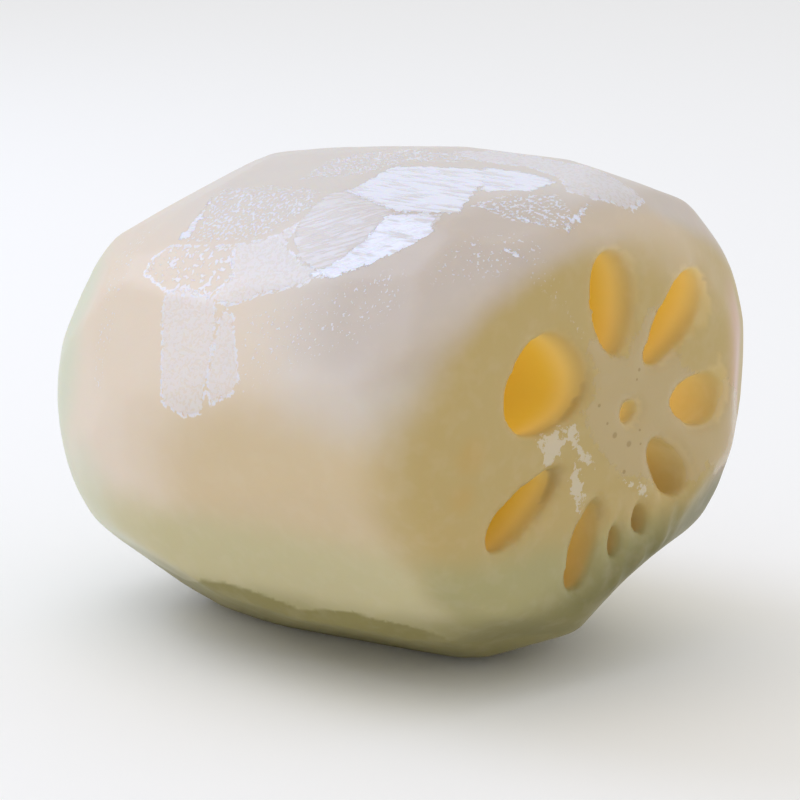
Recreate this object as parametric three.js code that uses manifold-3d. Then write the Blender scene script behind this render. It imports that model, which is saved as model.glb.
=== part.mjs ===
// A peeled segment of lotus root, lying on its side. It is one piece of flesh:
// a plump barrel, flattened all over by the strokes of a peeler, cut off at both ends,
// with a ring of nine air channels round a fine central one.
//
// Millimetres, +Z up. The segment lies along X, and its broad cut end faces +X.
// "along" is a place on the X axis, counted from the middle of the blank.
// "around" is an angle about that axis in degrees: 90 is the top, 180 faces -Y, 270 is the underside.

import * as THREE from "three";
import { mergeVertices } from "three/addons/utils/BufferGeometryUtils.js";
import Module from "manifold-3d";

const wasm = await Module();
wasm.setup();

// The blank: the segment before peeling
const HALF_WIDTH = 35.4; // at the widest station
const FLATTENING = 0.93; // the height over the width
const WIDEST_AT = 13;
const FAR_LENGTH = 52.5; // from the widest station to the far tip
const NEAR_LENGTH = 32.5; // from the widest station to the near tip
const FAR_BLUNTNESS = 3.6; // 2 is an ellipse, and more is squarer
const NEAR_BLUNTNESS = 3.1;
const RISE = 0.078; // the axis climbs towards the near end by this much for each millimetre
const BOW = 0.0015; // and bends upwards
const BLANK_SIDES = 44;
const BLANK_STATIONS = 10; // on each side of the widest station

// The two cut ends
const NEAR_CUT = { along: 42, yaw: -8, pitch: -5 };
const FAR_CUT = { along: -36, yaw: 6, pitch: 4 };

// The flat that the segment rests on
const REST_ALONG = 8;
const REST_DEPTH = 1.5;

// The ring of channels, as they open at the near end. inner and outer are the reach from the axis.
const CHANNELS = [
  { around: 161, inner: 6.7, outer: 19.6, width: 11.6 },
  { around: 104, inner: 6.5, outer: 21, width: 6.4 },
  { around: 53, inner: 5.2, outer: 19.4, width: 6.2 },
  { around: -9, inner: 7.8, outer: 17, width: 6.3 },
  { around: -51, inner: 7.5, outer: 18.5, width: 4.4 },
  { around: -74, inner: 14.6, outer: 19.7, width: 2.4 },
  { around: -88, inner: 15.7, outer: 21, width: 2.2 },
  { around: -104, inner: 12, outer: 24.5, width: 4.4 },
  { around: -143, inner: 11, outer: 25.2, width: 4.8 },
];
const CENTRAL_CHANNEL = { around: -60, inner: 0, outer: 3.2, width: 3.2 };
const TEARDROP = 0.3; // how much wider a channel is towards the skin than towards the axis
const CHANNEL_SIDES = 14;
const CHANNEL_STATIONS = 6;
// How far the channels spread from the axis, over their spread at the near end, along the segment.
const SPREAD = new THREE.SplineCurve([
  new THREE.Vector2(-44, 0.76),
  new THREE.Vector2(-20, 0.97),
  new THREE.Vector2(5, 1.08),
  new THREE.Vector2(28, 1.06),
  new THREE.Vector2(52, 0.96),
]);

// Peeler strokes on the side that faces -Y, on the top, and round the shoulders of the near end.
// depth is what the stroke takes off at its middle. pitch tips it end to end, and roll side to side.
const STROKES = [
  // along the crest
  { along: -24, around: 106, depth: 2.1, pitch: -5, roll: 2 },
  { along: -6, around: 103, depth: 0.6, pitch: 1, roll: 4 },
  { along: 24, around: 92, depth: 1.7, pitch: 4, roll: 9 },
  { along: 6, around: 78, depth: 0.2, pitch: 5, roll: -5 },
  { along: 28, around: 72, depth: 2, pitch: 4, roll: -2 },
  { along: 36, around: 84, depth: 0.8 },
  // the short crossing strokes below the crest
  { along: -25, around: 123, depth: 1.2 },
  { along: -13, around: 129, depth: 0.7 },
  { along: -4, around: 124, depth: 0.7, roll: 5 },
  { along: 21, around: 118, depth: 1.8, pitch: 4, roll: -10 },
  { along: 32, around: 106, depth: 2.2, pitch: -11, roll: -4 },
  { along: 36, around: 114, depth: 1.9, pitch: -13, roll: -4 },
  { along: -6, around: 141, depth: 0.7, roll: -1 },
  { along: 8, around: 138, depth: 1.1, pitch: 3, roll: -3 },
  // the flank
  { along: -24, around: 170, depth: 1.1 },
  { along: -30, around: 148, depth: 1.1 },
  { along: -18, around: 152, depth: 0.7, pitch: 4, roll: 6 },
  { along: -1, around: 159, depth: 0.8, pitch: -2, roll: -2 },
  { along: 5, around: 159, depth: 0.6, pitch: -1, roll: -1 },
  { along: 21, around: 152, depth: 1.9, pitch: 2, roll: -5 },
  { along: 33, around: 145, depth: 1.4, roll: -5 },
  { along: 4, around: 186, depth: 0.7, pitch: 3, roll: -3 },
  { along: 27, around: 178, depth: 0.5, pitch: -1 },
  // towards the underside
  { along: -27, around: 192, depth: 0.3, pitch: 2, roll: -2 },
  { along: -25, around: 213, depth: 0.3, pitch: 2, roll: 1 },
  { along: 2, around: 207, depth: 1.6, pitch: 6 },
  { along: 27, around: 205, depth: 1.1, pitch: 1, roll: -2 },
  { along: -20, around: 230, depth: 2.2, pitch: 1, roll: -1 },
  { along: 4, around: 226, depth: 0.2, pitch: 4, roll: -17 },
  { along: 27, around: 229, depth: 1.5, roll: -3 },
  { along: -7, around: 238, depth: 1.6 },
  { along: 12, around: 246, depth: 1.5, pitch: -1, roll: -2 },
  { along: 32, around: 250, depth: 1.3 },
  // round the shoulders of the near end
  { along: 39, around: 65, depth: 1 },
  { along: 38, around: 45, depth: 0.3, pitch: -1 },
  { along: 40, around: 20, depth: 0.4, pitch: 4, roll: -2 },
  { along: 41, around: -3, depth: 1.1 },
  { along: 39, around: -25, depth: 0.7, roll: 4 },
  { along: 41, around: -52, depth: 1.5, roll: -3 },
  { along: 36, around: -72, depth: 2.1, pitch: 3, roll: 4 },
];

// Strokes on the underside and the back, which follow each other round by a rule
const BACK_FROM = -112;
const BACK_TO = 62;
const BACK_STROKES = 9;
const BACK_FACETS_PER_STROKE = 4;
const BACK_FIRST = -30;
const BACK_SPACING = 17;
const BACK_DEPTH = 0.9;
const BACK_STRAY = { along: 3, around: 3, depth: 0.25, pitch: 1.6, roll: 2.5 };
const SEED = 20;

// A shallow hollow across the rim of the broad cut, low on the +Y side: a long round cutter,
// that lies along "lie" and touches the point "at", which faces "outward"
const HOLLOW = {
  at: new THREE.Vector3(35.6, 11.1, -18.4),
  outward: new THREE.Vector3(0.66, 0.25, -0.71).normalize(),
  lie: new THREE.Vector3(0.59, -0.76, 0.28).normalize(),
  radius: 60,
  length: 44,
};

// The edge of each cut is eased by a ring of narrow flats
const EASED_SIDES = 22;
const EASED_DEPTH = 0.5;

const CUTTER_SIZE = 120; // wider than the blank, so a cutter slices right across it

const radians = THREE.MathUtils.degToRad;

// The half width of the blank at a station along it.
function blankRadius(along) {
  const near = along > WIDEST_AT;
  const share = Math.abs(along - WIDEST_AT) / (near ? NEAR_LENGTH : FAR_LENGTH);
  const bluntness = near ? NEAR_BLUNTNESS : FAR_BLUNTNESS;
  return HALF_WIDTH * Math.pow(Math.max(0, 1 - Math.pow(share, bluntness)), 1 / bluntness);
}

// The height of the segment's axis at a station.
function axisHeight(along) {
  return RISE * along + BOW * along * along;
}

// A point at a reach from the axis, in the direction "around".
function placeAt(along, around, reach) {
  return new THREE.Vector3(
    along,
    reach * Math.cos(radians(around)),
    axisHeight(along) + FLATTENING * reach * Math.sin(radians(around)),
  );
}

// The point and the outward direction of the blank's surface.
function blankSurface(along, around) {
  const step = 0.5;
  const point = placeAt(along, around, blankRadius(along));
  const lengthwise = placeAt(along + step, around, blankRadius(along + step)).sub(point);
  const crosswise = placeAt(along, around + step, blankRadius(along)).sub(point);
  return { point, outward: crosswise.cross(lengthwise).normalize() };
}

// A closed geometry as a solid that can be cut and joined.
function solidOf(geometry) {
  const bare = geometry.clone().deleteAttribute("normal").deleteAttribute("uv");
  const merged = mergeVertices(bare, 1e-4);
  const corners = [];
  for (let i = 0; i < merged.index.count; i += 3) {
    const [a, b, c] = [0, 1, 2].map((k) => merged.index.getX(i + k));
    if (a !== b && b !== c && c !== a) corners.push(a, b, c);
  }
  return new wasm.Manifold(
    new wasm.Mesh({
      numProp: 3,
      vertProperties: new Float32Array(merged.attributes.position.array),
      triVerts: new Uint32Array(corners),
    }),
  );
}

// The mesh geometry of a finished solid.
function geometryOf(solid) {
  const mesh = solid.getMesh();
  const geometry = new THREE.BufferGeometry();
  geometry.setAttribute("position", new THREE.BufferAttribute(mesh.vertProperties, 3));
  geometry.setIndex(new THREE.BufferAttribute(mesh.triVerts, 1));
  return geometry;
}

// The blank is a lathed barrel, flattened and bent along its axis.
function makeBlank() {
  const profile = [];
  for (let i = 0; i <= 2 * BLANK_STATIONS; i++) {
    const turn = (i / BLANK_STATIONS - 1) * (Math.PI / 2);
    const reach = turn < 0 ? FAR_LENGTH : NEAR_LENGTH;
    const along = WIDEST_AT + reach * Math.sin(turn);
    const last = i === 0 || i === 2 * BLANK_STATIONS;
    profile.push(new THREE.Vector2(last ? 0 : blankRadius(along), along));
  }
  const barrel = new THREE.LatheGeometry(profile, BLANK_SIDES).rotateZ(-Math.PI / 2);
  const position = barrel.attributes.position;
  for (let i = 0; i < position.count; i++) {
    position.setZ(i, axisHeight(position.getX(i)) + FLATTENING * position.getZ(i));
  }
  return solidOf(barrel);
}

// A block that takes off everything beyond a plane.
function cutterBeyond(point, outward) {
  const block = new THREE.BoxGeometry(CUTTER_SIZE, CUTTER_SIZE, CUTTER_SIZE).translate(0, 0, CUTTER_SIZE / 2);
  const turn = new THREE.Quaternion().setFromUnitVectors(new THREE.Vector3(0, 0, 1), outward);
  block.applyQuaternion(turn).translate(point.x, point.y, point.z);
  return solidOf(block);
}

// One flat left by the peeler.
function strokeCutter({ along, around, depth, pitch = 0, roll = 0 }) {
  const { point, outward } = blankSurface(along, around);
  const lengthwise = new THREE.Vector3(1, 0, 0);
  const crosswise = new THREE.Vector3().crossVectors(outward, lengthwise).normalize();
  const foot = point.clone().addScaledVector(outward, -depth);
  outward.applyAxisAngle(crosswise, radians(pitch)).applyAxisAngle(lengthwise, radians(roll));
  return cutterBeyond(foot, outward);
}

// The long round cutter of the hollow, with its surface through the named point.
function hollowCutter({ at, outward, lie, radius, length }) {
  const turn = new THREE.Quaternion().setFromUnitVectors(new THREE.Vector3(0, 1, 0), lie);
  const centre = at.clone().addScaledVector(outward, radius);
  const place = new THREE.Matrix4().compose(centre, turn, new THREE.Vector3(1, 1, 1));
  return solidOf(new THREE.CylinderGeometry(radius, radius, length, 96).applyMatrix4(place));
}

// The strokes of the underside and the back, strayed by a seeded draw.
function backStrokes() {
  let state = SEED;
  const stray = (most) => {
    state = (state * 1103515245 + 12345) % 2147483648;
    return most * ((2 * state) / 2147483648 - 1);
  };
  const strokes = [];
  for (let stroke = 0; stroke < BACK_STROKES; stroke++) {
    const around = BACK_FROM + ((BACK_TO - BACK_FROM) * stroke) / (BACK_STROKES - 1);
    const stagger = stroke % 2 ? BACK_SPACING / 2 : 0;
    for (let i = 0; i < BACK_FACETS_PER_STROKE; i++) {
      strokes.push({
        along: BACK_FIRST + i * BACK_SPACING + stagger + stray(BACK_STRAY.along),
        around: around + stray(BACK_STRAY.around),
        depth: BACK_DEPTH + stray(BACK_STRAY.depth),
        pitch: stray(BACK_STRAY.pitch),
        roll: stray(BACK_STRAY.roll),
      });
    }
  }
  return strokes;
}

// A channel: a closed tube with a teardrop section that swells with the segment.
function makeChannel({ around, inner, outer, width }) {
  const tube = new THREE.CylinderGeometry(1, 1, 1, CHANNEL_SIDES, CHANNEL_STATIONS);
  const position = tube.attributes.position;
  const middle = (inner + outer) / 2;
  for (let i = 0; i < position.count; i++) {
    const station = SPREAD.getPoint(position.getY(i) + 0.5);
    const turned = -position.getZ(i);
    const outwards = position.getX(i);
    const reach = station.y * (middle + (outwards * (outer - inner)) / 2);
    const aside = (station.y * turned * (1 + TEARDROP * outwards) * width) / 2;
    const spine = placeAt(station.x, around, reach);
    position.setXYZ(
      i,
      spine.x,
      spine.y - aside * Math.sin(radians(around)),
      spine.z + aside * Math.cos(radians(around)),
    );
  }
  return solidOf(tube);
}

// The middle and the outward direction of an end cut: along X, turned a little sideways and downwards.
function cutPlane(side, { along, yaw, pitch }) {
  return {
    point: new THREE.Vector3(along, 0, axisHeight(along)),
    outward: new THREE.Vector3(side, Math.tan(radians(yaw)), Math.tan(radians(pitch))).normalize(),
  };
}

// Where the blank's surface meets a cut, found by halving.
function rimOfCut(side, cut, around) {
  const { point, outward } = cutPlane(side, cut);
  let inside = WIDEST_AT;
  let beyond = side > 0 ? WIDEST_AT + NEAR_LENGTH : WIDEST_AT - FAR_LENGTH;
  for (let i = 0; i < 30; i++) {
    const along = (inside + beyond) / 2;
    const place = placeAt(along, around, blankRadius(along));
    if (place.sub(point).dot(outward) < 0) inside = along;
    else beyond = along;
  }
  return inside;
}

// The flats that ease the edge of a cut: each leans halfway between the cut and the flank.
function easingCutters(side, cut) {
  const cutters = [];
  for (let i = 0; i < EASED_SIDES; i++) {
    const around = (360 * i) / EASED_SIDES;
    const { point, outward } = blankSurface(rimOfCut(side, cut, around), around);
    const halfway = outward.add(cutPlane(side, cut).outward).normalize();
    cutters.push(cutterBeyond(point.addScaledVector(halfway, -EASED_DEPTH), halfway));
  }
  return cutters;
}

function makeSegment() {
  let segment = makeBlank();
  for (const stroke of [...STROKES, ...backStrokes()]) {
    segment = segment.subtract(strokeCutter(stroke));
  }
  segment = segment.subtract(hollowCutter(HOLLOW));
  const underside = blankSurface(REST_ALONG, 270).point;
  underside.z += REST_DEPTH;
  segment = segment.subtract(cutterBeyond(underside, new THREE.Vector3(0, 0, -1)));
  for (const [side, cut] of [[1, NEAR_CUT], [-1, FAR_CUT]]) {
    const { point, outward } = cutPlane(side, cut);
    for (const cutter of [cutterBeyond(point, outward), ...easingCutters(side, cut)]) {
      segment = segment.subtract(cutter);
    }
  }
  for (const channel of [...CHANNELS, CENTRAL_CHANNEL]) {
    segment = segment.subtract(makeChannel(channel));
  }
  return segment;
}

// The segment stands on z = 0, with the middle of its box over the origin.
const geometry = geometryOf(makeSegment());
geometry.computeBoundingBox();
const middle = geometry.boundingBox.getCenter(new THREE.Vector3());
geometry.translate(-middle.x, -middle.y, -geometry.boundingBox.min.z);
geometry.computeVertexNormals();

const flesh = new THREE.MeshStandardMaterial({ color: "#dccdb6", roughness: 0.32, metalness: 0 });
const segment = new THREE.Mesh(geometry, flesh);
segment.name = "segment";

const lotusRoot = new THREE.Group();
lotusRoot.add(segment);

export default lotusRoot;
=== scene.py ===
import math

import bmesh
import bpy
import numpy as np
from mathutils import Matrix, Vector
from mathutils.bvhtree import BVHTree


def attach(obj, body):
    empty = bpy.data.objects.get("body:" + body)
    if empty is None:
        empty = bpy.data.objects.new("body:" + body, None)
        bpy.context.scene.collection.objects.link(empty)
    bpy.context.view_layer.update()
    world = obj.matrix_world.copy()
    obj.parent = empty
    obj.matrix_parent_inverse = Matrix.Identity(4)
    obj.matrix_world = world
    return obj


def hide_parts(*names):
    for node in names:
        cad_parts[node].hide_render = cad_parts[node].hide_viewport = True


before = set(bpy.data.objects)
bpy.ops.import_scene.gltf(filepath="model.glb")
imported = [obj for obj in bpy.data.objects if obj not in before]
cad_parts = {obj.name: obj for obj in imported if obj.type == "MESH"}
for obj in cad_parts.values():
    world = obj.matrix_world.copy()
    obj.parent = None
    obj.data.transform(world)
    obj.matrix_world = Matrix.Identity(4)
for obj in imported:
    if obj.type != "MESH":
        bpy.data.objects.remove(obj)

bl_info = {
    "name": "Lotus Root Segment",
    "version": (1, 0, 0),
    "blender": (4, 5, 0),
    "location": "3D View > Sidebar > Lotus Root",
    "description": "Dresses the peeled lotus root segment and sets it on a pale table",
    "category": "Object",
}

MM = 0.001

# The axis that the places below are counted round, in the model's frame: its height at a station
# along X is AXIS_HEIGHT + AXIS_RISE * x + AXIS_BOW * x * x, in millimetres.
AXIS_HEIGHT = 30.9
AXIS_RISE = 0.087
AXIS_BOW = 0.0015
FLATTENING = 0.93
SKIN_REACH = 33.0  # one radian round the skin is about this many millimetres

# Each cut: a point on it, and its outward direction
BROAD_CUT = ((38.9, 0.0, 36.6), (1.0, -0.141, -0.087))
FAR_CUT = ((-39.0, 0.0, 31.0), (-1.0, 0.105, 0.07))

# Patches of starchy juice on the peeled skin, whose bluish white is partly a painted highlight of the window
# on the wet skin. Each outline goes round as (along in mm, around in degrees).
SKIN_PATCHES = {
    # crossed by slanting streaks
    "streaked": [
        [(3.2, 126), (3.9, 120), (4.4, 116), (8.1, 116), (16.9, 122), (23.9, 121), (25.2, 128), (21.2, 134),
         (14.7, 141), (7.8, 137), (4.5, 132)],
    ],
    # nearly white, with ripples along it
    "milky": [
        [(6.3, 114), (6.4, 102), (12.2, 100), (18.8, 97), (22.1, 104), (25.7, 120), (23, 121), (16.9, 122),
         (11.4, 119), (5, 115.5)],
        [(18.5, 96), (23.3, 95), (28.4, 96), (30.7, 98), (29.5, 105), (24.1, 109)],
        [(25.2, 128), (21.2, 134), (14.7, 141), (10, 140.5), (13, 137), (15.5, 130),
         (16.5, 123), (23, 121.5)],
        [(24.9, 116.5), (37.1, 115.4), (37.1, 114.5), (24.9, 115.6)],
        [(37.4, 113), (36.8, 100.5), (36.1, 100.5), (36.7, 113)],
        [(34.6, 127.3), (36.6, 128), (36.4, 129), (34.6, 128.4)],
        [(-16.7, 118), (-15.6, 121), (-14.4, 128), (-14.3, 132), (-16, 134), (-16.1, 130), (-16, 125)],
    ],
    # thin, pinkish, and pricked with fine specks
    "speckled": [
        [(-12.1, 147), (-7.8, 146), (-2.5, 148), (-1.2, 153), (-0.2, 160), (0.5, 168), (0.3, 173),
         (-2.3, 174), (-6.6, 172), (-8.5, 164), (-11.5, 152)],
        [(-0.6, 150), (1.6, 151), (4.1, 159), (5.9, 165), (5.6, 168), (2, 171), (0.9, 167), (0.3, 159)],
        [(-4.7, 134), (0.9, 131), (3.2, 126), (3.5, 133), (7.5, 137), (12.9, 140), (10, 143), (4.5, 146),
         (0.5, 149), (-3.2, 148), (-1.7, 143)],
        [(10, 91), (16, 86), (22, 86), (27, 87), (33, 84), (37, 80), (38, 88), (36, 98), (33, 100), (30, 95),
         (24, 92), (16, 93)],
    ],
    # dried to coarse blots
    "blotted": [
        [(-16.3, 135), (-5.6, 134), (-3.7, 136), (-1.5, 142), (-3.9, 148), (-11.8, 147),
         (-18.1, 143), (-18.3, 139)],
    ],
    # dried to tiny beads
    "beaded": [
        [(-15.9, 117), (-8, 114), (-0.8, 115), (2.4, 117), (3.5, 123), (0.7, 128), (-2.1, 132), (-6.9, 133),
         (-14.1, 134), (-14, 128), (-15.2, 122)],
        [(25, 115), (28, 108), (32.5, 102), (37.1, 108), (37.1, 115), (31, 118)],
        [(-5, 111), (4, 108), (8, 99), (14, 96), (16, 91), (4, 92), (-6, 99)],
    ],
    # scattered flecks
    "flecked": [
        [(4, 151), (16, 143), (24, 138), (26, 147), (22, 156), (12, 163), (7, 168), (5, 160)],
        [(-27.5, 130), (-23, 128), (-21, 150), (-20, 172), (-22, 172), (-24, 150)],
        [(28, 132), (33, 122), (37, 122), (38, 130), (34, 137), (29, 140)],
    ],
}
# The outline of the painted shade underneath, given the same way
UNDERSIDE = [
    (-20, 232), (-8, 217), (-4, 217.4), (-1, 218.8), (2.5, 221), (7, 224.7), (11, 224.1), (15, 224.4),
    (18, 226.1), (21.5, 230), (24.5, 236), (27, 250), (30, 262), (30, 275), (-25, 275), (-25, 236)]
# Juice on the broad cut, as (y, z) in mm: a thin film round the middle, painted paler and pinker as the
# reflection on the wet flat cut, and thicker flecks
CUT_PATCHES = {
    "cut_film_and_sheen": [
        [(-8.2, 45), (-6.6, 45.3), (-3.6, 44.6), (-3.2, 43), (-1.9, 42.2), (-0.5, 42.4), (0.8, 45.5),
         (2.2, 47.8), (4.2, 48), (6.5, 46), (7, 44), (8.5, 40), (12, 38), (17, 37), (22, 34), (24.4, 30),
         (24.4, 25), (19.5, 24.4), (18, 23.4), (17, 25), (14.6, 26.4), (13.2, 24), (12.1, 24.6), (10.6, 23),
         (9, 24.2), (5.9, 25), (3.4, 26.5), (0, 27.1), (-2.2, 29), (-4.5, 31.7), (-6, 33.9), (-7.2, 35.9),
         (-5.5, 37.8), (-5.5, 41.3), (-7.1, 43.8)],
    ],
    "cut_flecks": [
        [(-13.8, 33.8), (-11.2, 34.7), (-9.9, 33), (-10.3, 31.8), (-11.4, 30.2), (-12.7, 30.2),
         (-13.3, 32.3)],
        [(-10.3, 34.8), (-8.7, 35), (-7.7, 32.9), (-7, 31.6), (-4.9, 29.4), (-4.6, 29), (-6.9, 30.3),
         (-8.7, 32.3)],
        [(-7.8, 29.8), (-6.1, 26.4), (-6.5, 23.6), (-8.4, 26.5), (-8.3, 28.5)],
        [(0.4, 26.8), (2.5, 25.7), (4.8, 24.5), (4.4, 23.9), (2.3, 24.7), (0.8, 25.9)],
    ],
}
FAR_OUTSIDE = -20.0  # the distance that stands for nowhere near a patch, in mm

# Each kind of juice, whose colour is partly a painted highlight: the pattern it dries in, where its edge
# fades in (mm inside the outline), where that pattern fades in, how much it covers off and on the pattern's
# marks, and how far it stands up
JUICE_AND_SHEEN_KINDS = {
    "streaked": ("streaks", (0.0, 0.2), (0.4, 0.56), (0.2, 0.5), 0.6),
    "milky": ("ripples", (0.0, 0.2), (0.34, 0.5), (0.5, 1.0), 0.6),
    "speckled": ("specks", (0.0, 0.2), (0.4, 0.52), (0.24, 0.42), 0.5),
    "blotted": ("blots", (0.0, 0.4), (0.55, 0.6), (0.0, 0.6), 0.5),
    "beaded": ("specks", (0.0, 0.8), (0.53, 0.58), (0.0, 0.8), 0.4),
    "flecked": ("specks", (-1.0, 1.5), (0.64, 0.68), (0.0, 0.6), 0.4),
}
# The zones of colour of the flesh, each laid over the ones before it. The upper rim of the broad cut is
# painted light; its lower part and the underside are painted shade.
ZONES = ("blush", "ash", "straw", "moss", "green", "olive", "rim", "fern", "pink", "low_cut_shade", "shade")
# The streaks run along the first of these, and each is scaled to the size of a streak, per mm
STREAK_AXES = [(0.24, 0.11, 0.1), (-1.1, 1.62, 1.37), (0.0, -1.34, 1.61)]
# Fine pits in the middle of the broad cut, as (y, z, radius) in mm
PITS = [(-1.8, 32.6, 0.5), (0.7, 31.1, 0.5), (2.4, 32.6, 0.22), (-3.2, 34.3, 0.25), (2.7, 30.8, 0.22),
        (0.3, 27.6, 0.35), (-4.8, 36.8, 0.3), (1.4, 40.4, 0.3), (1.1, 39.2, 0.22)]
# Places where a channel runs close under the skin of the near shoulder: (x, y, z, radius) in mm
WARM_SPOTS = [(35.2, -24.6, 33.5, 2.0), (34.7, -25.4, 28.5, 1.5)]

# The photograph's view: where the camera stands, how it is turned in degrees, and its lens in mm
CAMERA_PLACE = (0.25292, -0.27021, 0.11611)
CAMERA_TURN = (77, 0, 43)
CAMERA_LENS = 130.8
TABLE_WIDTH = 6.0


def linear(hex_colour):
    """An sRGB hex colour as linear RGBA."""
    parts = [int(hex_colour[i:i + 2], 16) / 255 for i in (1, 3, 5)]
    return tuple(c / 12.92 if c <= 0.04045 else ((c + 0.055) / 1.055) ** 2.4 for c in parts) + (1.0,)


class LotusSurfaceSettings(bpy.types.PropertyGroup):
    """Sizes of the flesh's surface."""

    grain: bpy.props.FloatProperty(
        name="Mesh Grain", description="Size of the facets that the surface is rebuilt from",
        default=0.75 * MM, unit="LENGTH")
    easing: bpy.props.IntProperty(
        name="Easing", description="How often the ridges between the peeler's strokes are smoothed",
        default=2, min=0, max=30)
    softening: bpy.props.IntProperty(
        name="Softening", description="How often the rubbed places are smoothed on top of that",
        default=17, min=0, max=80)
    waviness: bpy.props.FloatProperty(
        name="Waviness", description="Height of the gentle swells that the peeler leaves in each stroke",
        default=0.12 * MM, unit="LENGTH")
    swell: bpy.props.FloatProperty(
        name="Swell", description="Distance between those swells", default=7 * MM, unit="LENGTH")
    flute: bpy.props.FloatProperty(
        name="Flute Depth", description="Depth of the soft flutes between the small channels",
        default=0.35 * MM, unit="LENGTH")


def tint(name, description, hex_colour):
    """A colour setting."""
    return bpy.props.FloatVectorProperty(
        name=name, description=description, subtype="COLOR", size=4, default=linear(hex_colour))


class LotusColourSettings(bpy.types.PropertyGroup):
    """Colours of the flesh and of the juice on it."""

    cream: tint("Cream", "Upper flesh", "#D6CFCA")
    blush: tint("Blush", "Flank towards the far end", "#E2D2BF")
    ash: tint("Ash", "Upper flesh towards the broad cut", "#C9BDB3")
    straw: tint("Straw", "Middle of the flank", "#D4BF9A")
    moss: tint("Moss", "Lower flank", "#C9BF94")
    green: tint("Green", "Low on the far end", "#D2D4BC")
    olive: tint("Olive", "Flesh round the broad cut", "#BDA66C")
    # Painted light: the upper rim of the broad cut is made paler where the light falls from above
    rim: tint("Rim", "Upper rim of the broad cut", "#D5C3A8")
    fern: tint("Fern", "Lower shoulder of the broad cut", "#ADA574")
    pink: tint("Pink", "+Y rim of the broad cut", "#D2B2A0")
    # Painted shade on the lower part of the broad cut
    low_cut_shade: tint("Dull", "Lower part of the broad cut", "#736E3E")
    # Painted shade on the underside
    shade: tint("Shade", "Underside", "#8E854E")
    mottle: tint("Mottle", "Paler mottling of the flesh", "#E8DCCB")
    warm: tint("Warm", "Where a channel shows through the near shoulder", "#C69C48")
    # Honey and amber are painted light: the light that comes through the flesh into the channels
    honey: tint("Honey", "Channel walls a little way in", "#DCC272")
    amber: tint("Amber", "Channel walls deeper inside", "#DCBE4C")
    # Painted highlight: this bluish white partly stands for the window's highlight on the wet skin
    milk_and_highlight: tint("Milk", "Starchy juice on the skin", "#E8EAF8")
    # Painted reflection: the paler, pinker sheen of the wet flat cut
    cut_film_and_sheen: tint("Cut Film", "Thin juice on the broad cut", "#BEA97E")
    cut_flecks: tint("Cut Flecks", "Thicker juice on the broad cut", "#D2C6AE")
    # Painted shade in the fine pits
    pit_shade: tint("Pit", "Fine pits in the middle of the broad cut", "#9A8250")


def deselect_all():
    if bpy.context.mode != "OBJECT":
        bpy.ops.object.mode_set(mode="OBJECT")
    bpy.ops.object.select_all(action="DESELECT")


def make_active(piece):
    deselect_all()
    piece.select_set(True)
    bpy.context.view_layer.objects.active = piece


def apply_modifier(piece, kind, **settings):
    """Adds a modifier with its settings and applies it."""
    modifier = piece.modifiers.new(kind.lower(), kind)
    for name, value in settings.items():
        setattr(modifier, name, value)
    make_active(piece)
    if "FINISHED" not in bpy.ops.object.modifier_apply(modifier=modifier.name):
        raise RuntimeError(f"{kind} could not be applied to {piece.name}")


def places_of(piece):
    """The piece's vertices in millimetres, one row each."""
    flat = np.empty(len(piece.data.vertices) * 3, np.float32)
    piece.data.vertices.foreach_get("co", flat)
    return flat.reshape(-1, 3).astype(float) / MM


def axis_height(along):
    return AXIS_HEIGHT + AXIS_RISE * along + AXIS_BOW * along * along


def signed_distance(points, outline):
    """How far inside an outline each flat point lies, in mm. Outside it is negative."""
    corners = np.array(outline, float)
    distance = np.full(len(points), np.inf)
    inside = np.zeros(len(points), bool)
    for a, b in zip(corners, np.roll(corners, -1, axis=0)):
        edge = b - a
        share = np.clip(((points - a) @ edge) / (edge @ edge), 0, 1)
        distance = np.minimum(distance, np.linalg.norm(points - a - share[:, None] * edge, axis=1))
        crosses = (a[1] > points[:, 1]) != (b[1] > points[:, 1])
        rise = edge[1] if edge[1] else 1e-9
        inside ^= crosses & (points[:, 0] < a[0] + (points[:, 1] - a[1]) / rise * edge[0])
    return np.where(inside, distance, -distance)


def set_attribute(piece, name, values):
    layer = piece.data.attributes.new(name, "FLOAT", "POINT")
    layer.data.foreach_set("value", values.astype(np.float32))


def ramp(values, low, high):
    """0 at low, 1 at high, and smooth between."""
    share = np.clip((values - low) / (high - low), 0, 1)
    return share * share * (3 - 2 * share)


def round_places(place):
    """Where each point lies along the axis in mm, round it in degrees, and how far from it in mm."""
    height = (place[:, 2] - axis_height(place[:, 0])) / FLATTENING
    around = np.degrees(np.arctan2(height, place[:, 1])) % 360
    return place[:, 0], around, np.hypot(place[:, 1], height)


def under_cut(place, cut):
    """How deep each point lies under the plane of a cut, in mm."""
    point, outward = np.array(cut[0]), np.array(cut[1])
    return (point - place) @ (outward / np.linalg.norm(outward))


def set_group(piece, name, weights):
    """A vertex group with these weights, stored in 16 steps."""
    group = piece.vertex_groups.new(name=name)
    steps = np.round(np.clip(weights, 0, 1) * 16).astype(int)
    for step in range(1, 17):
        group.add(np.nonzero(steps == step)[0].tolist(), step / 16, "REPLACE")


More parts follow.
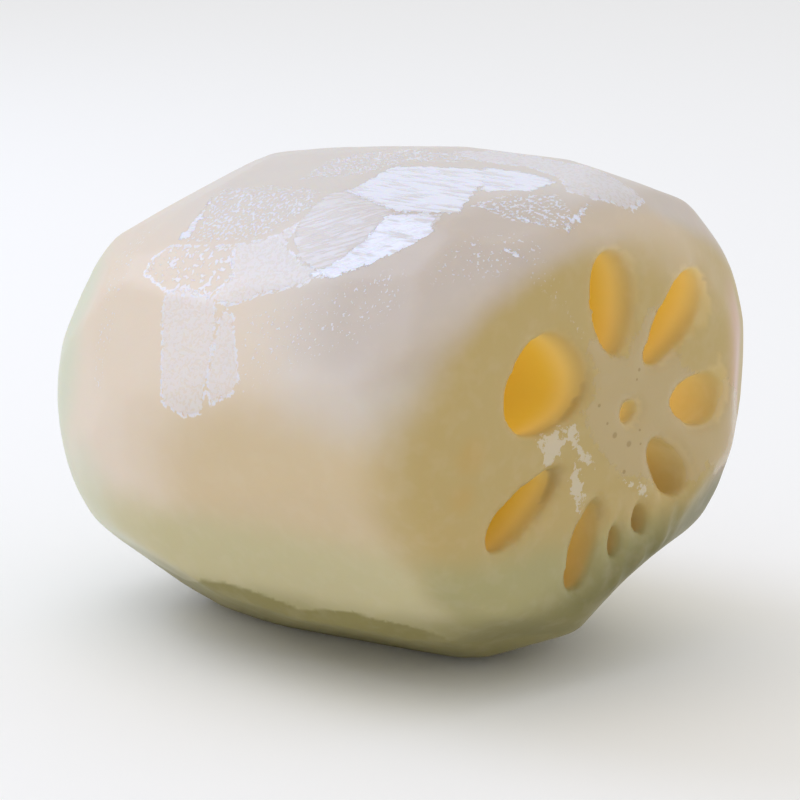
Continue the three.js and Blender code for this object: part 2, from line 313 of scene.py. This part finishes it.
def find_channels(piece, place):
    """1 on the wall of a channel, else 0. Beyond a wall there is more flesh, and beyond the skin nothing.
    Points on the cuts are left out, because the cuts slant and flesh can lie beside them too."""
    reach = round_places(place)[2]
    on_cut = 0.4  # mm under the plane of a cut
    inner = (under_cut(place, BROAD_CUT) > on_cut) & (under_cut(place, FAR_CUT) > on_cut)
    longest_ray = 60 * MM
    mesh = bmesh.new()
    mesh.from_mesh(piece.data)
    tree = BVHTree.FromBMesh(mesh)
    mesh.free()
    hollow = np.zeros(len(place))
    centre = axis_height(place[:, 0])
    for i in np.nonzero((reach > 1) & (reach < 31) & inner)[0]:
        outward = Vector((0, place[i, 1], place[i, 2] - centre[i])).normalized()
        start = Vector(place[i] * MM) + outward * 0.8 * MM
        if tree.ray_cast(start, outward, longest_ray)[0] is not None:
            hollow[i] = 1
    return hollow


def mark_surface(piece):
    """Writes what the material reads: the depth inside a channel, the zones of colour, and the distance
    inside each kind of patch."""
    place = places_of(piece)
    along, around, reach = round_places(place)
    across, height = place[:, 1], place[:, 2]
    deep = under_cut(place, BROAD_CUT)
    hollow = find_channels(piece, place)
    depth = hollow * np.clip(np.minimum(deep, under_cut(place, FAR_CUT)), 0, 60)
    # The channels low on the +Y side stay paler
    set_attribute(piece, "channel_depth", depth * (0.3 + 0.7 * ramp(0.6 * height - across, -2, 24)))
    # Little light comes through to the low channels, so their painted glow is weak, and more to the narrow
    # middle one and the outer one at +Y
    lit = 0.28 + 0.24 * ramp(height, 18, 32) + 0.45 * ramp(reach, 5, 3)
    lit = lit + 0.3 * ramp(across, 8, 17) * ramp(height, 24, 34)
    set_attribute(piece, "glow", hollow * ramp(depth, -2, 4.5) * lit)
    off_wall = 1 - ramp(depth, 0.5, 3)

    on_skin = np.stack([along, np.radians(around) * SKIN_REACH], axis=1)
    flat = [(x, math.radians(turn) * SKIN_REACH) for x, turn in UNDERSIDE]
    underside = ramp(signed_distance(on_skin, flat), -0.2, 0.6)
    from_middle = np.hypot(0.85 * across, 1.16 * (height - 33))  # of the broad cut
    zones = {
        "blush": ramp(height, 67, 42) * ramp(along, 45, -15),
        "ash": ramp(along, 0, 25) * ramp(height, 36, 48) * ramp(height, 64, 59),
        "straw": ramp(height, 47, 27) * ramp(along, -24, 8),
        "moss": ramp(height, 27, 15),
        "green": np.maximum(0.6 * ramp(height, 34, 22) * ramp(along, -12, -26),
                            ramp(along, -22, -36) * ramp(height, 55, 43)),
        "olive": ramp(from_middle, 32, 24.5) * ramp(along, 20, 30),
        # Painted light: the upper rim of the broad cut is made paler where the light falls from above
        "rim": ramp(deep, 6, 1) * ramp(height + 0.35 * across, 46, 66),
        "fern": ramp(height, 25, 15) * ramp(along, 24, 33) * off_wall,
        "pink": ramp(deep, 6, 2) * ramp(across, 15, 23) * ramp(height, 14, 26),
        # Painted shade on the lower part of the broad cut
        "low_cut_shade": ramp(deep, 16, 5) * off_wall * ramp(height - 0.4 * across, 24, 8),
        # Painted shade: darker towards the bottom, and below the outline of the underside
        "shade": np.maximum(np.maximum(0.5 * ramp(height, 14, 9), underside), ramp(height, 9, 5)),
    }
    for zone in ZONES:
        set_attribute(piece, "zone_" + zone, zones[zone])

    for name, outlines in SKIN_PATCHES.items():
        inside = np.full(len(place), FAR_OUTSIDE)
        for outline in outlines:
            flat = [(x, math.radians(turn) * SKIN_REACH) for x, turn in outline]
            inside = np.maximum(inside, signed_distance(on_skin, flat))
        inside[hollow > 0.5] = FAR_OUTSIDE
        set_attribute(piece, name, inside)
    for name, outlines in CUT_PATCHES.items():
        inside = np.full(len(place), FAR_OUTSIDE)
        for outline in outlines:
            inside = np.maximum(inside, signed_distance(place[:, 1:3], outline))
        inside[(deep > 8) | (along < 25) | (hollow * deep > 1.2)] = FAR_OUTSIDE
        set_attribute(piece, name, inside)
    spots = np.full(len(place), FAR_OUTSIDE)
    for *centre, radius in WARM_SPOTS:
        spots = np.maximum(spots, radius - np.linalg.norm(place - centre, axis=1))
    set_attribute(piece, "warm_spots", spots)


MATHS, RANGE, MIX = "ShaderNodeMath", "ShaderNodeMapRange", "ShaderNodeMix"
NOISE, VECTOR, ATTRIBUTE = "ShaderNodeTexNoise", "ShaderNodeVectorMath", "ShaderNodeAttribute"


class Nodes:
    """A material's node tree being built."""

    def __init__(self, material):
        material.use_nodes = True
        self.tree = material.node_tree
        self.tree.nodes.clear()

    def add(self, kind, inputs=None, output=0, **settings):
        """Adds a node, sets its properties, sets or links its inputs, and returns one of its outputs."""
        node = self.tree.nodes.new(kind)
        count = len(self.tree.nodes)
        node.location = (190 * (count % 14), -260 * (count // 14))
        for name, value in settings.items():
            setattr(node, name, value)
        for key, value in (inputs or {}).items():
            if isinstance(value, bpy.types.NodeSocket):
                self.tree.links.new(value, node.inputs[key])
            else:
                node.inputs[key].default_value = value
        return node.outputs[output] if len(node.outputs) else node


def flesh_material(colours):
    """Raw lotus root flesh, peeled and wet: pale, waxy and a little see-through, so light goes a few
    millimetres in and comes out warm. Starchy juice dries on it to a bluish white film with fine ripples,
    its colour partly a painted highlight of the window. Painted shade, painted light, a painted reflection
    on the broad cut and a painted glow in the channels are laid into its colours too."""
    material = bpy.data.materials.new("raw_lotus_flesh")
    nodes = Nodes(material)
    add = nodes.add
    smooth = {"data_type": "FLOAT", "interpolation_type": "SMOOTHSTEP"}
    colour = {"data_type": "RGBA", "output": 2}

    place = add("ShaderNodeTexCoord", output=3)
    mm = add(VECTOR, {0: place, 3: 1000.0}, operation="SCALE")
    # Soft clouding 11 mm across, mottling 3 mm across, and the grain of the flesh
    clouds = add(NOISE, {"Vector": mm, "Scale": 1 / 11, "Detail": 2.0})
    mottle = add(NOISE, {"Vector": mm, "Scale": 1 / 3, "Detail": 2.0, "Roughness": 0.6})
    fine = add(NOISE, {"Vector": mm, "Scale": 1 / 0.7, "Detail": 1.0})
    drift = add(RANGE, {"Value": clouds, "From Min": 0.3, "From Max": 0.7, "To Min": -0.06, "To Max": 0.06})

    # Cream above, blush on the flank, mossy below, olive round the broad cut, painted light on its upper
    # rim, and painted shade on its lower part and underneath
    body = colours.cream
    for zone in ZONES:
        share = add(ATTRIBUTE, output=2, attribute_name="zone_" + zone)
        share = add(MATHS, {0: share, 1: drift}, operation="ADD")
        share = add(RANGE, {"Value": share, "From Min": 0.05, "From Max": 0.95}, **smooth)
        body = add(MIX, {0: share, 6: body, 7: getattr(colours, zone)}, **colour)
    pale = add(RANGE, {"Value": mottle, "From Min": 0.45, "From Max": 0.7, "To Max": 0.06}, **smooth)
    body = add(MIX, {0: pale, 6: body, 7: colours.mottle}, **colour)

    # A channel that runs close under the skin shows through as a warm spot
    spot = add(ATTRIBUTE, output=2, attribute_name="warm_spots")
    spot = add(RANGE, {"Value": spot, "From Min": -1.5, "From Max": 1.2, "To Max": 0.3}, **smooth)
    body = add(MIX, {0: spot, 6: body, 7: colours.warm}, **colour)

    # Painted light: channel walls turn honey-coloured a little way in, then amber, for the light that comes
    # through the flesh
    depth = add(ATTRIBUTE, output=2, attribute_name="channel_depth")
    share = add(RANGE, {"Value": depth, "From Min": 0.5, "From Max": 4.5}, **smooth)
    body = add(MIX, {0: share, 6: body, 7: colours.honey}, **colour)
    share = add(RANGE, {"Value": depth, "From Min": 3.0, "From Max": 7.5}, **smooth)
    body = add(MIX, {0: share, 6: body, 7: colours.amber}, **colour)
    # Painted glow: an emission in the walls' own colour stands for what comes all the way through from the
    # skin
    glow = add(ATTRIBUTE, output=2, attribute_name="glow")
    glow = add(MIX, {0: glow, 6: linear("#000000"), 7: body}, **colour)

    # Juice on the skin has ragged edges. It lies in slanting streaks, in ripples along the segment, as a
    # thin skin pricked with specks, in rows of beads, or as stray flecks. Its bluish white is partly a
    # painted highlight.
    ragged = add(NOISE, {"Vector": mm, "Scale": 1 / 0.9, "Detail": 3.0, "Roughness": 0.7})
    ragged = add(RANGE, {"Value": ragged, "From Min": 0.3, "From Max": 0.7, "To Min": -0.5, "To Max": 0.5})
    slanted = [add(VECTOR, {0: mm, 1: axis}, output=1, operation="DOT_PRODUCT") for axis in STREAK_AXES]
    slanted = add("ShaderNodeCombineXYZ", dict(enumerate(slanted)))
    stretched = add(VECTOR, {0: mm, 1: (0.22, 1.3, 1.3)}, operation="MULTIPLY")
    patterns = {
        "streaks": add(NOISE, {"Vector": slanted, "Scale": 1.0, "Detail": 2.0, "Roughness": 0.6}),
        "ripples": add(NOISE, {"Vector": stretched, "Scale": 1.0, "Detail": 2.0, "Roughness": 0.6}),
        "specks": add(NOISE, {"Vector": mm, "Scale": 1 / 0.45, "Detail": 1.0, "Roughness": 0.6}),
        "blots": add(NOISE, {"Vector": mm, "Scale": 1 / 0.8, "Detail": 1.0, "Roughness": 0.6}),
    }
    juice_and_sheen = 0.0
    height = add(MATHS, {0: fine, 1: 0.06}, operation="MULTIPLY")
    for kind, (pattern, edge, marks, cover, lift) in JUICE_AND_SHEEN_KINDS.items():
        inside = add(ATTRIBUTE, output=2, attribute_name=kind)
        inside = add(MATHS, {0: inside, 1: ragged}, operation="ADD")
        inside = add(RANGE, {"Value": inside, "From Min": edge[0], "From Max": edge[1]}, **smooth)
        film = add(RANGE, {"Value": patterns[pattern], "From Min": marks[0], "From Max": marks[1],
                           "To Min": cover[0], "To Max": cover[1]}, **smooth)
        film = add(MATHS, {0: film, 1: inside}, operation="MULTIPLY")
        juice_and_sheen = add(MATHS, {0: juice_and_sheen, 1: film}, operation="MAXIMUM")
        height = add(MATHS, {0: film, 1: lift, 2: height}, operation="MULTIPLY_ADD")
    # It gathers to a thin broken line where two strokes meet, painted in the same bluish white as a
    # highlight along the edge
    broken = add(RANGE, {"Value": patterns["blots"], "From Min": 0.42, "From Max": 0.52}, **smooth)
    for kind in ("blotted", "speckled"):
        line = add(ATTRIBUTE, output=2, attribute_name=kind)
        line = add(MATHS, {0: ragged, 1: 0.5, 2: line}, operation="MULTIPLY_ADD")
        line = add(MATHS, {0: line}, operation="ABSOLUTE")
        line = add(RANGE, {"Value": line, "From Min": 0.3, "From Max": 0.12, "To Max": 0.75}, **smooth)
        line = add(MATHS, {0: line, 1: broken}, operation="MULTIPLY")
        juice_and_sheen = add(MATHS, {0: juice_and_sheen, 1: line}, operation="MAXIMUM")
    # Painted highlight: the patches are mixed in a bluish white that is partly the window's highlight on the
    # wet skin
    surface = add(MIX, {0: juice_and_sheen, 6: body, 7: colours.milk_and_highlight}, **colour)

    # The film on the broad cut is thinner: paler and pinker than the flesh under it, a painted reflection of
    # the wet flat cut. Its flecks are thicker.
    cut_film_and_sheen = 0.0
    for kind in CUT_PATCHES:
        film = add(ATTRIBUTE, output=2, attribute_name=kind)
        film = add(MATHS, {0: ragged, 1: 1.5, 2: film}, operation="MULTIPLY_ADD")
        film = add(RANGE, {"Value": film, "From Min": -0.03, "From Max": 0.1, "To Max": 0.8}, **smooth)
        surface = add(MIX, {0: film, 6: surface, 7: getattr(colours, kind)}, **colour)
        cut_film_and_sheen = add(MATHS, {0: cut_film_and_sheen, 1: film}, operation="MAXIMUM")

    # Painted shade in the fine pits in the middle of the cut
    flat = add(VECTOR, {0: mm, 1: (0.0, 1.0, 1.0)}, operation="MULTIPLY")
    pits = 0.0
    for across, up, radius in PITS:
        gap = add(VECTOR, {0: flat, 1: (0.0, across, up)}, output=1, operation="DISTANCE")
        pit_shade = add(RANGE, {"Value": gap, "From Min": radius, "From Max": radius * 0.5}, **smooth)
        pits = add(MATHS, {0: pits, 1: pit_shade}, operation="MAXIMUM")
    on_cut = add(RANGE, {"Value": add("ShaderNodeSeparateXYZ", {0: mm}), "From Min": 30.0, "From Max": 34.0})
    pits = add(MATHS, {0: pits, 1: on_cut}, operation="MULTIPLY")
    share = add(MATHS, {0: pits, 1: 0.6}, operation="MULTIPLY")
    surface = add(MIX, {0: share, 6: surface, 7: colours.pit_shade}, **colour)

    wet = add(MATHS, {0: juice_and_sheen, 1: cut_film_and_sheen}, operation="MAXIMUM")
    roughness = add(RANGE, {"Value": wet, "To Min": 0.42, "To Max": 0.22})
    height = add(MATHS, {0: cut_film_and_sheen, 1: 0.15, 2: height}, operation="MULTIPLY_ADD")
    bump = add("ShaderNodeBump", {"Strength": 0.7, "Distance": 0.3 * MM, "Height": height})
    # The thin flesh between the channels lets more light through than the thick flesh outside them
    reach = add(RANGE, {"Value": depth, "From Max": 5.0, "To Min": 3.0 * MM, "To Max": 9.0 * MM})
    shader = add("ShaderNodeBsdfPrincipled", {
        "Base Color": surface, "Roughness": roughness, "Normal": bump, "IOR": 1.38,
        "Subsurface Weight": 0.4, "Subsurface Radius": (1.0, 0.62, 0.3), "Subsurface Scale": reach,
        "Coat Weight": 0.12, "Coat Roughness": 0.25, "Emission Color": glow, "Emission Strength": 0.46})
    add("ShaderNodeOutputMaterial", {"Surface": shader})
    return material


class LOTUS_OT_segment(bpy.types.Operator):
    """Rebuild the peeled segment with softened ridges and its wet flesh"""

    bl_idname = "lotus.segment"
    bl_label = "Peeled Segment"

    def execute(self, context):
        sizes = context.scene.lotus_surface
        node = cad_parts["segment"]
        flesh = bpy.data.objects.new("flesh", node.data.copy())
        flesh.data.materials.clear()
        context.scene.collection.objects.link(flesh)
        make_active(flesh)
        bpy.ops.object.mode_set(mode="EDIT")
        bpy.ops.mesh.select_all(action="SELECT")
        bpy.ops.mesh.remove_doubles(threshold=0.01 * MM)
        bpy.ops.object.mode_set(mode="OBJECT")
        apply_modifier(flesh, "REMESH", mode="VOXEL", voxel_size=sizes.grain)
        apply_modifier(flesh, "SMOOTH", factor=0.5, iterations=sizes.easing)

        # Handling has rubbed the flank, the underside and the near shoulders softer than the crest
        place = places_of(flesh)
        along, around, reach = round_places(place)
        crest = ramp(around, 62, 80) * ramp(around, 172, 150) * ramp(along, 36, 28)
        lowest = ramp(place[:, 2], 14, 9)
        near_rims = ramp(under_cut(place, BROAD_CUT), 7, 3)
        rubbed = (1 - 0.96 * crest) * (1 - 0.7 * lowest) * ramp(reach, 22, 27)
        set_group(flesh, "rubbed", np.maximum(rubbed, near_rims))
        apply_modifier(flesh, "SMOOTH", factor=0.5, iterations=sizes.softening, vertex_group="rubbed")

        # Soft flutes run down from the small channels to the rim
        across, height = place[:, 1], place[:, 2]
        flute_spacing = 3.4
        flutes = 0.5 + 0.5 * np.cos((across - 0.14 * (height - 15) - 6.4) * 2 * math.pi / flute_spacing)
        flutes = flutes * ramp(across, -2, 1) * ramp(across, 13, 9)
        flutes = flutes * ramp(height, 26, 22) * ramp(height, 10, 14) * ramp(along, 28, 32)
        set_group(flesh, "flutes", flutes)
        apply_modifier(flesh, "DISPLACE", direction="X", strength=-sizes.flute, mid_level=0.0,
                       vertex_group="flutes")
        swells = bpy.data.textures.new("peeler_swells", "CLOUDS")
        swells.noise_scale = sizes.swell
        apply_modifier(flesh, "DISPLACE", texture=swells, texture_coords="LOCAL", strength=sizes.waviness,
                       mid_level=0.5)
        make_active(flesh)
        bpy.ops.object.shade_smooth()
        mark_surface(flesh)
        flesh.data.materials.append(flesh_material(context.scene.lotus_colours))
        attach(flesh, "root")
        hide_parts("segment")
        return {"FINISHED"}


def add_light(name, place, target, width, height, watts, colour):
    """A soft box that faces the target."""
    lamp = bpy.data.lights.new(name, "AREA")
    lamp.shape = "RECTANGLE"
    lamp.size, lamp.size_y = width, height
    lamp.energy = watts
    lamp.color = linear(colour)[:3]
    box = bpy.data.objects.new(name, lamp)
    box.location = place
    box.rotation_euler = (Vector(target) - Vector(place)).to_track_quat("-Z", "Y").to_euler()
    bpy.context.scene.collection.objects.link(box)


class LOTUS_OT_stage(bpy.types.Operator):
    """Set the pale table, the soft light and the camera"""

    bl_idname = "lotus.stage"
    bl_label = "Table, Light and Camera"

    def execute(self, context):
        deselect_all()
        bpy.ops.mesh.primitive_plane_add(size=TABLE_WIDTH, location=(0, 0, 0))
        table = context.active_object
        table.name = "table"
        paint = bpy.data.materials.new("matt_white_board")
        paint.use_nodes = True
        board = paint.node_tree.nodes["Principled BSDF"]
        board.inputs["Base Color"].default_value = linear("#FBFBFB")
        board.inputs["Roughness"].default_value = 0.8
        table.data.materials.append(paint)

        world = bpy.data.worlds.new("pale_room")
        world.use_nodes = True
        background = world.node_tree.nodes["Background"]
        background.inputs["Color"].default_value = linear("#FFFFFF")
        background.inputs["Strength"].default_value = 0.8
        context.scene.world = world
        add_light("window", (-0.62, -0.18, 0.50), (0, 0, 0.03), 0.35, 0.45, 1.6, "#CFDDFF")
        add_light("ceiling", (0.0, -0.15, 0.9), (0, 0, 0.03), 0.8, 0.8, 0.8, "#FFF6E8")

        camera = bpy.data.cameras.new("photo_camera")
        camera.lens = CAMERA_LENS
        camera.sensor_width = 36
        camera.clip_start = 0.01
        viewer = bpy.data.objects.new("photo_camera", camera)
        viewer.location = CAMERA_PLACE
        viewer.rotation_euler = [math.radians(angle) for angle in CAMERA_TURN]
        context.scene.collection.objects.link(viewer)
        context.scene.camera = viewer
        context.scene.view_settings.view_transform = "Standard"
        return {"FINISHED"}


class LOTUS_PT_panel(bpy.types.Panel):
    """The lotus root's tools."""

    bl_idname = "LOTUS_PT_panel"
    bl_label = "Lotus Root"
    bl_space_type = "VIEW_3D"
    bl_region_type = "UI"
    bl_category = "Lotus Root"

    def draw(self, context):
        layout = self.layout
        for settings in (context.scene.lotus_surface, context.scene.lotus_colours):
            for name in settings.__annotations__:
                layout.prop(settings, name)
        layout.operator("lotus.segment")
        layout.operator("lotus.stage")


CLASSES = (LotusSurfaceSettings, LotusColourSettings, LOTUS_OT_segment, LOTUS_OT_stage, LOTUS_PT_panel)


def register():
    for cls in CLASSES:
        bpy.utils.register_class(cls)
    bpy.types.Scene.lotus_surface = bpy.props.PointerProperty(type=LotusSurfaceSettings)
    bpy.types.Scene.lotus_colours = bpy.props.PointerProperty(type=LotusColourSettings)


def unregister():
    del bpy.types.Scene.lotus_colours
    del bpy.types.Scene.lotus_surface
    for cls in reversed(CLASSES):
        bpy.utils.unregister_class(cls)


def main():
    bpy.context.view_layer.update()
    register()
    deselect_all()
    bpy.ops.lotus.segment()
    bpy.ops.lotus.stage()


if __name__ == "__main__":
    main()
